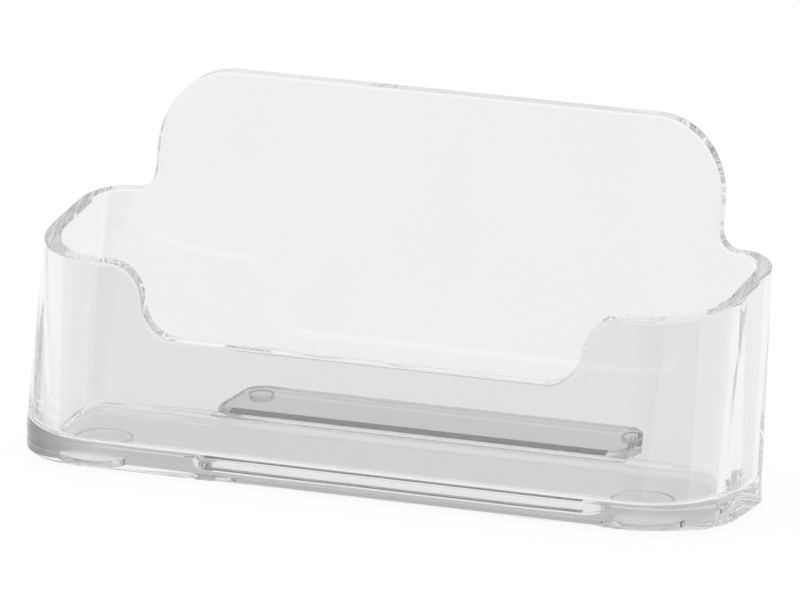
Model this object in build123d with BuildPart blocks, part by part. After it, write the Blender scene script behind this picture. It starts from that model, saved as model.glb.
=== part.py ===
from build123d import *
import os
from math import atan2, cos, hypot, radians, sin, tan

# Clear desk stand for business cards: a moulded pocket that tilts back, with a tall back panel,
# a base plate bonded under it, with a rear foot as high as the plinth, and four round pads.
# Millimetres and degrees. The origin is at the bottom centre, the front faces -Y.

# Driving dimensions, heights measured from the underside of the base plate
base_width = 97.75
base_depth = 22.7
plinth_height = 3.1
holder_height = 46.0
wall = 2.0
pocket_tilt = 8.9
back_lean = 12.7
side_draft = 2.4
inner_draft = 0.5
side_flat = 6.2
rear_corner_radius = 5.7
rim_drop = 19.9
rim_round = 0.45
rim_bevel = 0.25

cutout_inset = 18.65
cutout_flare = 0.6
cutout_depth = 8.65
cutout_side_flat = 0.3

shoulder_flat = 0.3
panel_root_radius = 2.6
panel_side_flat = 2.8

floor_height = 2.7
floor_round = 0.8
plate_thickness = 1.2
plate_bevel = 0.3
bond_gap = 0.05

foot_inset = 20.2
foot_reach = 13.2
foot_corner_radius = 3.0
foot_edge_round = 0.8

pad_stand = 0.8
pad_seat_depth = 0.4
pad_bevel = 0.4
front_pad_diameter = 8.2
front_pad_inset = 11.5
front_pad_setback = 7.1
rear_pad_diameter = 3.2
rear_pad_inset = 2.6
rear_pad_setback = 2.6

# Derived sizes
front_slope = tan(radians(pocket_tilt))
back_slope = tan(radians(back_lean))
side_slope = tan(radians(side_draft))
inner_slope = tan(radians(inner_draft))
front_corner_radius = base_depth - side_flat - rear_corner_radius
front_rim_height = holder_height - rim_drop
rear_rim_height = front_rim_height + base_depth * front_slope
rear_rim_half_width = base_width / 2 - (rear_rim_height - plinth_height) * side_slope
panel_half_width = rear_rim_half_width - rear_corner_radius - shoulder_flat - panel_root_radius
inner_half_width = rear_rim_half_width - wall - (rear_rim_height - plinth_height) * inner_slope
cutout_half_width = base_width / 2 - cutout_inset
cutout_side = hypot(cutout_depth, 2 * cutout_flare)
cutout_turn = atan2(cutout_depth, 2 * cutout_flare)
cutout_radius = (cutout_side - cutout_side_flat) / 2 / tan(cutout_turn / 2)
foot_half_width = base_width / 2 - foot_inset
foot_depth = foot_reach - bond_gap
overall_depth = base_depth + foot_reach
cut_reach = 2 * holder_height

# Derived places
front_y = -overall_depth / 2
back_y = front_y + base_depth
foot_end_y = back_y + foot_reach
inner_front_y = front_y + wall / cos(radians(pocket_tilt))
inner_back_y = back_y - wall / cos(radians(back_lean))
rim_front_y = front_y + (front_rim_height - plinth_height) * front_slope
panel_top_y = back_y + (holder_height - plinth_height) * back_slope
panel_rise = rim_drop * cos(radians(pocket_tilt)) - (panel_top_y - rim_front_y) * sin(radians(pocket_tilt))
panel_corner_radius = panel_rise - panel_root_radius - panel_side_flat
rim_frame = Plane(
    origin=(0, rim_front_y, pad_stand + front_rim_height),
    x_dir=(1, 0, 0),
    z_dir=(0, -1, -front_slope),
)
mid_pocket_frame = rim_frame.offset(-base_depth / 2)
plate_top = Plane.XY.offset(pad_stand + plate_thickness)
pocket_bottom = plate_top.offset(bond_gap)


def leaning_block(bottom, front, back, half_width, draft_slope, front_radius, rear_radius):
    """Block between a leaning front and back, with drafted sides and round upright corners.

    Its front, back and half width are those at the top of the plinth."""
    top = holder_height + rim_drop
    below = plinth_height - bottom
    above = top - plinth_height
    with BuildPart() as block:
        with BuildSketch(Plane.YZ):
            with BuildLine():
                Polyline(
                    (front - below * front_slope, pad_stand + bottom),
                    (back - below * back_slope, pad_stand + bottom),
                    (back + above * back_slope, pad_stand + top),
                    (front + above * front_slope, pad_stand + top),
                    close=True,
                )
            make_face()
        extrude(amount=base_width, both=True)
        for side in (-1, 1):
            side_plane = Plane(
                origin=(side * half_width, 0, pad_stand + plinth_height),
                x_dir=(0, 1, 0),
                z_dir=(side, 0, draft_slope),
            )
            split(bisect_by=side_plane, keep=Keep.BOTTOM)
        fillet(upright_corners(block)[:2], front_radius)
        fillet(upright_corners(block)[-2:], rear_radius)
    return block.part


def upright_corners(block):
    """Edges between the level bottom and top, from the front to the back."""
    return block.edges().group_by(Axis.Z)[1].sort_by(Axis.Y)


def above_rim(frame, rim_half_width, middle_half_width, middle_height, rim_radius, middle_radius):
    """Area over the rim line, which steps to another height in the middle, with round corners."""
    with BuildSketch(frame) as area:
        with BuildLine():
            Polyline(
                (-base_width, 0),
                (-rim_half_width, 0),
                (-middle_half_width, middle_height),
                (middle_half_width, middle_height),
                (rim_half_width, 0),
                (base_width, 0),
                (base_width, cut_reach),
                (-base_width, cut_reach),
                close=True,
            )
        make_face()
        fillet(corners_at(area, 0), rim_radius)
        fillet(corners_at(area, middle_height), middle_radius)
    return area.sketch


def corners_at(area, height):
    """The two corners of the step that are nearest to a height."""
    corners = area.vertices().filter_by_position(Axis.X, -base_width / 2, base_width / 2)
    return corners.sort_by(lambda corner: abs(corner.Y - height))[:2]


# Outside of the holder, upright round the plinth, later parted at the bond line into plate and pocket
with BuildPart() as envelope:
    add(leaning_block(
        plinth_height, front_y, back_y, base_width / 2, side_slope,
        front_corner_radius, rear_corner_radius,
    ))
    extrude(envelope.faces().sort_by(Axis.Z)[0], amount=plinth_height)

# Space inside the pocket, rounded where the walls meet the floor
with BuildPart() as pocket_core:
    add(leaning_block(
        floor_height, inner_front_y, inner_back_y, inner_half_width, -inner_slope,
        front_corner_radius - wall, rear_corner_radius - wall,
    ))
    fillet(pocket_core.faces().sort_by(Axis.Z)[0].edges(), floor_round)

# What is cut away above the rim: all but the raised back panel, and the front cut-out
with BuildPart() as trim:
    extrude(
        above_rim(
            rim_frame, panel_half_width, panel_half_width, panel_rise,
            panel_root_radius, panel_corner_radius,
        ),
        amount=cut_reach,
        both=True,
    )
    extrude(
        above_rim(
            mid_pocket_frame, cutout_half_width + cutout_flare, cutout_half_width - cutout_flare,
            -cutout_depth, cutout_radius, cutout_radius,
        ),
        amount=cut_reach,
    )

# Moulded pocket: floor, front wall with its cut-out, side walls and tall back panel
with BuildPart() as card_pocket:
    add(envelope.part)
    split(bisect_by=pocket_bottom, keep=Keep.TOP)
    add(pocket_core.part, mode=Mode.SUBTRACT)
    add(trim.part, mode=Mode.SUBTRACT)
    new_loops = ShapeList(Wire.combine(card_pocket.edges(Select.NEW)))
    inner_rim, outer_rim = new_loops.sort_by(SortBy.LENGTH)[-2:]
    fillet(outer_rim.edges(), rim_round)
    chamfer(inner_rim.edges(), rim_bevel)
card_pocket.part.label = "card_pocket"

# Place and diameter of the round pads, two under the ends of the base plate, two under the rear foot
front_pad_x = base_width / 2 - front_pad_inset
front_pad_y = front_y + front_pad_setback
rear_pad_x = foot_half_width - rear_pad_inset
rear_pad_y = foot_end_y - rear_pad_setback
pads = {
    "foot_pad_front_left": (-front_pad_x, front_pad_y, front_pad_diameter),
    "foot_pad_front_right": (front_pad_x, front_pad_y, front_pad_diameter),
    "foot_pad_rear_left": (-rear_pad_x, rear_pad_y, rear_pad_diameter),
    "foot_pad_rear_right": (rear_pad_x, rear_pad_y, rear_pad_diameter),
}

# Base plate and rear foot, which stands against the plinth, with a seat for each pad in the underside
with BuildPart() as base_plate:
    add(envelope.part)
    split(bisect_by=plate_top, keep=Keep.BOTTOM)
    with BuildSketch(Plane.XY.offset(pad_stand)):
        with Locations((0, back_y)):
            RectangleRounded(2 * foot_half_width, 2 * foot_reach, foot_corner_radius)
    extrude(amount=plate_thickness)
    with BuildSketch(plate_top):
        with Locations((0, foot_end_y - foot_depth / 2)):
            RectangleRounded(2 * foot_half_width, foot_depth, foot_corner_radius)
    extrude(amount=plinth_height - plate_thickness)
    foot_top = base_plate.faces().sort_by(Axis.Z)[-1]
    fillet(foot_top.edges().sort_by(Axis.Y)[1:], foot_edge_round)
    chamfer(base_plate.faces().sort_by(Axis.Z)[0].edges(), plate_bevel)
    with BuildSketch(Plane.XY.offset(pad_stand)):
        for pad_x, pad_y, pad_diameter in pads.values():
            with Locations((pad_x, pad_y)):
                Circle(pad_diameter / 2 + bond_gap)
    extrude(amount=pad_seat_depth, mode=Mode.SUBTRACT)
base_plate.part.label = "base_plate"

foot_pads = []
pad_height = pad_stand + pad_seat_depth - bond_gap
for pad_name, (pad_x, pad_y, pad_diameter) in pads.items():
    with BuildPart(Plane((pad_x, pad_y, 0))) as foot_pad:
        Cylinder(pad_diameter / 2, pad_height, align=(Align.CENTER, Align.CENTER, Align.MIN))
        chamfer(foot_pad.edges().sort_by(Axis.Z)[0], pad_bevel)
    foot_pad.part.label = pad_name
    foot_pads.append(foot_pad.part)

os.makedirs("parts", exist_ok=True)
for piece in [card_pocket.part, base_plate.part] + foot_pads:
    export_step(piece, f"parts/{piece.label}.step")
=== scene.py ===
from math import cos, pi, radians, sin

import bmesh
import bpy
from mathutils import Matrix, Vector


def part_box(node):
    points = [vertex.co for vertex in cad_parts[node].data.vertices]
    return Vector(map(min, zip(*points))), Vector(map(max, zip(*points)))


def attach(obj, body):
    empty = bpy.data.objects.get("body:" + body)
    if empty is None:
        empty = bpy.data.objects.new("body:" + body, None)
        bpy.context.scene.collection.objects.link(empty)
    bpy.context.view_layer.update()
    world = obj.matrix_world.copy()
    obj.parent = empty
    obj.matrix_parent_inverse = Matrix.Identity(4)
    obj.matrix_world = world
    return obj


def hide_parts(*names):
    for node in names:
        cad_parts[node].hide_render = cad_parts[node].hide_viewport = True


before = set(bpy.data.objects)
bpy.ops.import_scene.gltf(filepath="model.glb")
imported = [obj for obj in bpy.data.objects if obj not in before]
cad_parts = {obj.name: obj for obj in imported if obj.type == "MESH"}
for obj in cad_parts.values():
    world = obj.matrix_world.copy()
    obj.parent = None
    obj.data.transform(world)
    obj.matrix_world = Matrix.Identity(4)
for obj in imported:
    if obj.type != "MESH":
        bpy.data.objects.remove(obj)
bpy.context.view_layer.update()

# Camera, from the fit of the holder's edges to the photograph
camera_yaw = radians(22.989)
camera_elevation = radians(14.986)
camera_distance = 1.333
camera_aim = Vector((0.00581, -0.01537, 0.02669))
camera_lens = 477.1
camera_sensor = 36.0
camera_reach = 20.0

# How squarely a face has to look along an axis to count
square_facing = 0.99
rough_facing = 0.9

# Clear plastic
bond_tolerance = 2e-6
weld_digits = 8
plastic_ior = 1.59
plastic_dull_tint = (0.892, 0.896, 0.900, 1.0)
plastic_clear_tint = (0.908, 0.910, 0.913, 1.0)
flow_scale = 55.0
flow_detail = 1.0
flow_depth = 4e-5
scuff_scale = 900.0
scuff_detail = 3.0
scuff_start = 0.55
scuff_full = 0.75
scuff_roughness = 0.05

# Grain of the soft and hazy materials, from its smooth to its dull end
grain_smooth = 0.3
grain_dull = 0.7

# Bead of cement along the root of the rear foot
bead_height = 0.00015
bead_depth = 0.0014
bead_hollow = 0.4
bead_clearance = 0.00002
bead_steps = 6
bead_ior = 1.5
bead_clearness = 0.15
bead_hazy_tint = (0.84, 0.84, 0.85, 1.0)
bead_clear_tint = (0.95, 0.95, 0.96, 1.0)
bead_grain_scale = 1200.0
bead_grain_detail = 3.0
bead_smooth_roughness = 0.25
bead_dull_roughness = 0.45

# Pads
pad_ior = 1.5
pad_dull_tint = (0.93, 0.93, 0.93, 1.0)
pad_clear_tint = (0.97, 0.97, 0.97, 1.0)
pad_grain_scale = 2500.0
pad_grain_detail = 2.0
pad_grain_depth = 5e-6
pad_smooth_roughness = 0.03
pad_dull_roughness = 0.10
pad_squeeze = 0.0001
pad_edge = 0.0005
pad_edge_steps = 5
pad_sides = 64
pad_sharp_angle = radians(50)

# Stage
floor_size = 6.0
floor_drop = 2e-5
floor_colour = (0.8, 0.8, 0.8, 1.0)
floor_glow = 1.045
floor_glow_share = 0.9
room_colour = (1.0, 1.0, 1.0, 1.0)
room_top = 0.35
ceiling_bottom = 0.9
room_left_light = 0.57
room_right_light = 0.2
room_left_end = -0.5
room_right_end = 0.3
ceiling_light = 1.1
light_bounces = 96


def new_object(name, data):
    """Object for a mesh or a camera, put into the scene."""
    thing = bpy.data.objects.new(name, data)
    bpy.context.scene.collection.objects.link(thing)
    return thing


def outward_mesh(name, shape):
    """Mesh of an edited shape, with all its faces turned outward."""
    bmesh.ops.recalc_face_normals(shape, faces=shape.faces)
    mesh = bpy.data.meshes.new(name)
    shape.to_mesh(mesh)
    shape.free()
    return mesh


def bonded_faces(mesh, height, facing):
    """Indices of the faces that lie in the level bond plane and look up or down."""
    bonded = set()
    for polygon in mesh.polygons:
        level = all(abs(mesh.vertices[v].co.z - height) < bond_tolerance for v in polygon.vertices)
        if level and polygon.normal.z * facing > rough_facing:
            bonded.add(polygon.index)
    return bonded


def point_key(point):
    """Place of a point, rounded so that equal points meet."""
    return tuple(round(value, weld_digits) for value in point)


def outline_of(mesh, faces):
    """Closed loop of points round a set of faces, in the faces' own order."""
    edges = set()
    for index in faces:
        keys = [point_key(mesh.vertices[v].co) for v in mesh.polygons[index].vertices]
        edges.update(zip(keys, keys[1:] + keys[:1]))
    following = {start: end for start, end in edges if (end, start) not in edges}
    loop = [min(following)]
    while following[loop[-1]] != loop[0]:
        loop.append(following[loop[-1]])
    return [Vector(point) for point in loop]


def strip_between(lower, upper):
    """Triangles that close the thin gap between two level loops, both anticlockwise from above."""
    first = min(range(len(upper)), key=lambda i: (upper[i] - lower[0]).length)
    upper = upper[first:] + upper[:first]
    triangles = []
    low, high = 0, 0
    while low < len(lower) or high < len(upper):
        low_now, low_next = lower[low % len(lower)], lower[(low + 1) % len(lower)]
        high_now, high_next = upper[high % len(upper)], upper[(high + 1) % len(upper)]
        low_is_nearer = (low_next - high_now).length <= (high_next - low_now).length
        if high == len(upper) or (low < len(lower) and low_is_nearer):
            triangles.append((low_now, low_next, high_now))
            low += 1
        else:
            triangles.append((low_now, high_next, high_now))
            high += 1
    return triangles


def faces_without(mesh, dropped):
    """Points and corner normals of each face that is not dropped."""
    normals = [Vector(normal.vector) for normal in mesh.corner_normals]
    faces = []
    for polygon in mesh.polygons:
        if polygon.index not in dropped:
            points = [mesh.vertices[v].co for v in polygon.vertices]
            faces.append((points, [normals[i] for i in polygon.loop_indices]))
    return faces


def welded_mesh(name, faces):
    """Mesh of faces with their corner normals, in which equal points are one."""
    places, kept, normals = {}, [], []
    for points, face_normals in faces:
        face = [places.setdefault(point_key(point), len(places)) for point in points]
        if len(set(face)) == len(face):
            kept.append(face)
            normals.extend(face_normals)
    mesh = bpy.data.meshes.new(name)
    mesh.from_pydata([Vector(key) for key in places], [], kept)
    mesh.shade_smooth()
    mesh.normals_split_custom_set(normals)
    return mesh


def clear_body(pocket_mesh, plate_mesh):
    """One clear body from the pocket and the plate, without the faces of the level bond between them."""
    bond_top = min(v.co.z for v in pocket_mesh.vertices)
    plate_tops = [p.center.z for p in plate_mesh.polygons if p.normal.z > square_facing]
    bond_bottom = max(height for height in plate_tops if height < bond_top)
    under = bonded_faces(pocket_mesh, bond_top, -1)
    over = bonded_faces(plate_mesh, bond_bottom, 1)
    faces = faces_without(pocket_mesh, under) + faces_without(plate_mesh, over)
    upper = outline_of(pocket_mesh, under)[::-1]
    lower = outline_of(plate_mesh, over)
    for triangle in strip_between(lower, upper):
        a, b, c = triangle
        normal = (b - a).cross(c - a).normalized()
        faces.append((triangle, [normal] * 3))
    return new_object("clear_body", welded_mesh("clear_body", faces))


def bead_section(corner, lean):
    """Outline across the bead: along the foot, up the hollow face and down the leaning wall."""
    toe = corner + bead_depth * Vector((0.0, 1.0, 0.0))
    top = corner + bead_height * Vector((0.0, lean, 1.0))
    hollow = corner.lerp((toe + top) / 2, bead_hollow)
    section = [corner, toe]
    for step in range(1, bead_steps):
        along = step / bead_steps
        section.append((1 - along) ** 2 * toe + 2 * along * (1 - along) * hollow + along ** 2 * top)
    section.append(top)
    return section


def cement_bead(pocket_mesh, plate_mesh):
    """Bead in the corner between the rear foot and the back wall that leans over it."""
    bond_top = min(v.co.z for v in pocket_mesh.vertices)
    foot_fronts = [p for p in plate_mesh.polygons if p.normal.y < -square_facing and p.center.z > bond_top]
    points = [plate_mesh.vertices[v].co for p in foot_fronts for v in p.vertices]
    half_length = max(point.x for point in points)
    root_y = max(point.y for point in points)
    root_z = max(point.z for point in points)
    wall = max((p for p in pocket_mesh.polygons if p.normal.y > rough_facing), key=lambda p: p.area)
    lean = -wall.normal.z / wall.normal.y
    section = bead_section(Vector((0.0, root_y + bead_clearance, root_z + bead_clearance)), lean)
    shape = bmesh.new()
    ends = []
    for side in (-1, 1):
        to_end = Vector((side * half_length, 0.0, 0.0))
        ends.append([shape.verts.new(point + to_end) for point in section])
    left, right = ends
    for here in range(len(section)):
        after = (here + 1) % len(section)
        shape.faces.new((left[here], left[after], right[after], right[here]))
    shape.faces.new(left)
    shape.faces.new(right)
    return new_object("foot_cement", outward_mesh("foot_cement", shape))


def pad_profile(radius, bottom, top):
    """Half outline of a pad, from the middle of its underside round its soft lower edge to its top."""
    profile = [(0.0, bottom)]
    for step in range(pad_edge_steps + 1):
        turn = step / pad_edge_steps * pi / 2
        profile.append((radius - pad_edge * (1 - sin(turn)), bottom + pad_edge * (1 - cos(turn))))
    return profile + [(radius, top), (0.0, top)]


def soft_pad(node_name):
    """Round pad pressed into its seat, turned about its upright axis."""
    low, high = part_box(node_name)
    centre_x, centre_y = (low[0] + high[0]) / 2, (low[1] + high[1]) / 2
    radius = (high[0] - low[0]) / 2 + pad_squeeze
    shape = bmesh.new()
    rings = []
    for distance, height in pad_profile(radius, low[2], high[2] + pad_squeeze):
        ring = []
        for side in range(pad_sides if distance else 1):
            angle = 2 * pi * side / pad_sides
            place = (centre_x + distance * cos(angle), centre_y + distance * sin(angle), height)
            ring.append(shape.verts.new(place))
        rings.append(ring)
    for inner, outer in zip(rings, rings[1:]):
        for side in range(pad_sides):
            corners = [outer[side % len(outer)], outer[(side + 1) % len(outer)],
                       inner[(side + 1) % len(inner)], inner[side % len(inner)]]
            # At the axis two corners are the same point and the face has three sides
            shape.faces.new(dict.fromkeys(corners))
    mesh = outward_mesh(node_name + "_soft", shape)
    mesh.shade_smooth()
    mesh.set_sharp_from_angle(angle=pad_sharp_angle)
    return new_object(node_name + "_soft", mesh)


def new_material(name):
    """Empty node material with its output node."""
    material = bpy.data.materials.new(name)
    material.use_nodes = True
    material.node_tree.nodes.clear()
    output = material.node_tree.nodes.new("ShaderNodeOutputMaterial")
    return material, material.node_tree, output


def noise(tree, scale, detail):
    """Noise in the object's own metres."""
    place = tree.nodes.new("ShaderNodeTexCoord")
    texture = tree.nodes.new("ShaderNodeTexNoise")
    texture.inputs["Scale"].default_value = scale
    texture.inputs["Detail"].default_value = detail
    tree.links.new(place.outputs["Object"], texture.inputs["Vector"])
    return texture.outputs["Fac"]


def tint(tree, factor, low, high):
    """Colour between two, mixed by a noise."""
    mix = tree.nodes.new("ShaderNodeMix")
    mix.data_type = "RGBA"
    mix.inputs["A"].default_value = low
    mix.inputs["B"].default_value = high
    tree.links.new(factor, mix.inputs["Factor"])
    return mix.outputs["Result"]


def remap(tree, value, low, high, to_low, to_high):
    """Value carried from one range to another, with soft ends."""
    span = tree.nodes.new("ShaderNodeMapRange")
    span.interpolation_type = "SMOOTHSTEP"
    span.inputs["From Min"].default_value = low
    span.inputs["From Max"].default_value = high
    span.inputs["To Min"].default_value = to_low
    span.inputs["To Max"].default_value = to_high
    tree.links.new(value, span.inputs["Value"])
    return span.outputs["Result"]


def bump(tree, height, depth):
    """Normal of a surface with a small relief."""
    relief = tree.nodes.new("ShaderNodeBump")
    relief.inputs["Strength"].default_value = 1.0
    relief.inputs["Distance"].default_value = depth
    tree.links.new(height, relief.inputs["Height"])
    return relief.outputs["Normal"]


def larger(tree, first, second):
    """The larger of two values."""
    node = tree.nodes.new("ShaderNodeMath")
    node.operation = "MAXIMUM"
    tree.links.new(first, node.inputs[0])
    tree.links.new(second, node.inputs[1])
    return node.outputs[0]


def clear_shader(tree, output, ior, clearness=1.0):
    """Clear or hazy body on the output, whose colour, roughness and normal are linked later."""
    shader = tree.nodes.new("ShaderNodeBsdfPrincipled")
    shader.inputs["Transmission Weight"].default_value = clearness
    shader.inputs["IOR"].default_value = ior
    tree.links.new(shader.outputs["BSDF"], output.inputs["Surface"])
    return shader


def clear_plastic():
    """Clear moulded styrene: slow waves from the mould's flow and faint scuffs from handling."""
    material, tree, output = new_material("clear_plastic")
    shader = clear_shader(tree, output, plastic_ior)
    flow = noise(tree, flow_scale, flow_detail)
    scuffs = noise(tree, scuff_scale, scuff_detail)
    roughness = remap(tree, scuffs, scuff_start, scuff_full, 0.0, scuff_roughness)
    tree.links.new(tint(tree, flow, plastic_dull_tint, plastic_clear_tint), shader.inputs["Base Color"])
    tree.links.new(roughness, shader.inputs["Roughness"])
    tree.links.new(bump(tree, flow, flow_depth), shader.inputs["Normal"])
    return material


def soft_clear_rubber():
    """Clear polyurethane of the pads, with a fine matt grain."""
    material, tree, output = new_material("soft_clear_rubber")
    shader = clear_shader(tree, output, pad_ior)
    grain = noise(tree, pad_grain_scale, pad_grain_detail)
    roughness = remap(tree, grain, grain_smooth, grain_dull, pad_smooth_roughness, pad_dull_roughness)
    tree.links.new(tint(tree, grain, pad_dull_tint, pad_clear_tint), shader.inputs["Base Color"])
    tree.links.new(roughness, shader.inputs["Roughness"])
    tree.links.new(bump(tree, grain, pad_grain_depth), shader.inputs["Normal"])
    return material


def hazy_cement():
    """Cement that squeezed out of the joint and set hazy."""
    material, tree, output = new_material("hazy_cement")
    shader = clear_shader(tree, output, bead_ior, bead_clearness)
    grain = noise(tree, bead_grain_scale, bead_grain_detail)
    roughness = remap(tree, grain, grain_smooth, grain_dull, bead_smooth_roughness, bead_dull_roughness)
    tree.links.new(tint(tree, grain, bead_hazy_tint, bead_clear_tint), shader.inputs["Base Color"])
    tree.links.new(roughness, shader.inputs["Roughness"])
    return material


# Holder
pocket_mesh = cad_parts["card_pocket"].data
plate_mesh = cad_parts["base_plate"].data

body = clear_body(pocket_mesh, plate_mesh)
body.data.materials.append(clear_plastic())
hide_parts("card_pocket", "base_plate")
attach(body, "root")

bead = cement_bead(pocket_mesh, plate_mesh)
bead.data.materials.append(hazy_cement())
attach(bead, "root")

rubber = soft_clear_rubber()
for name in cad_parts:
    if name.startswith("foot_pad"):
        pad = soft_pad(name)
        pad.data.materials.append(rubber)
        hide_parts(name)
        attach(pad, "root")

# Floor: white paper, which looks brighter to the camera and in or through the plastic than it is lit
bpy.ops.mesh.primitive_plane_add(size=floor_size, location=(0.0, 0.0, -floor_drop))
floor = bpy.context.object
floor.name = "floor"
floor_material, floor_tree, floor_output = new_material("floor_white")
diffuse = floor_tree.nodes.new("ShaderNodeBsdfDiffuse")
diffuse.inputs["Color"].default_value = floor_colour
glow = floor_tree.nodes.new("ShaderNodeEmission")
glow.inputs["Strength"].default_value = floor_glow
light_path = floor_tree.nodes.new("ShaderNodeLightPath").outputs
seen = larger(floor_tree, light_path["Is Camera Ray"], light_path["Is Glossy Ray"])
seen = larger(floor_tree, seen, light_path["Is Transmission Ray"])
glow_share = floor_tree.nodes.new("ShaderNodeMath")
glow_share.operation = "MULTIPLY"
glow_share.inputs[1].default_value = floor_glow_share
floor_tree.links.new(seen, glow_share.inputs[0])
floor_mix = floor_tree.nodes.new("ShaderNodeMixShader")
floor_tree.links.new(glow_share.outputs[0], floor_mix.inputs["Fac"])
floor_tree.links.new(diffuse.outputs["BSDF"], floor_mix.inputs[1])
floor_tree.links.new(glow.outputs["Emission"], floor_mix.inputs[2])
floor_tree.links.new(floor_mix.outputs["Shader"], floor_output.inputs["Surface"])
floor.data.materials.append(floor_material)

# World: a dim room, darker on the right, under a wide soft ceiling light
world = bpy.data.worlds.new("studio")
bpy.context.scene.world = world
world.use_nodes = True
world_tree = world.node_tree
background = world_tree.nodes["Background"]
background.inputs["Color"].default_value = room_colour
direction = world_tree.nodes.new("ShaderNodeTexCoord")
parts = world_tree.nodes.new("ShaderNodeSeparateXYZ")
world_tree.links.new(direction.outputs["Generated"], parts.inputs["Vector"])
room = remap(
    world_tree, parts.outputs["X"],
    room_left_end, room_right_end, room_left_light, room_right_light,
)
overhead = remap(world_tree, parts.outputs["Z"], room_top, ceiling_bottom, 0.0, 1.0)
light = world_tree.nodes.new("ShaderNodeMix")
light.inputs["B"].default_value = ceiling_light
world_tree.links.new(overhead, light.inputs["Factor"])
world_tree.links.new(room, light.inputs["A"])
world_tree.links.new(light.outputs["Result"], background.inputs["Strength"])

# Camera
camera_data = bpy.data.cameras.new("camera")
camera_data.sensor_width = camera_sensor
camera_data.lens = camera_lens
camera_data.clip_end = camera_reach
camera = new_object("camera", camera_data)
back = Vector((
    sin(camera_yaw) * cos(camera_elevation),
    -cos(camera_yaw) * cos(camera_elevation),
    sin(camera_elevation),
))
camera.location = camera_aim + camera_distance * back
camera.rotation_euler = back.to_track_quat("Z", "Y").to_euler()
bpy.context.scene.camera = camera

# Picture: plain colours, and light that may pass many faces of the clear plastic
bpy.context.scene.view_settings.view_transform = "Standard"
bpy.context.scene.cycles.max_bounces = light_bounces
bpy.context.scene.cycles.transmission_bounces = light_bounces
bpy.context.scene.cycles.glossy_bounces = light_bounces
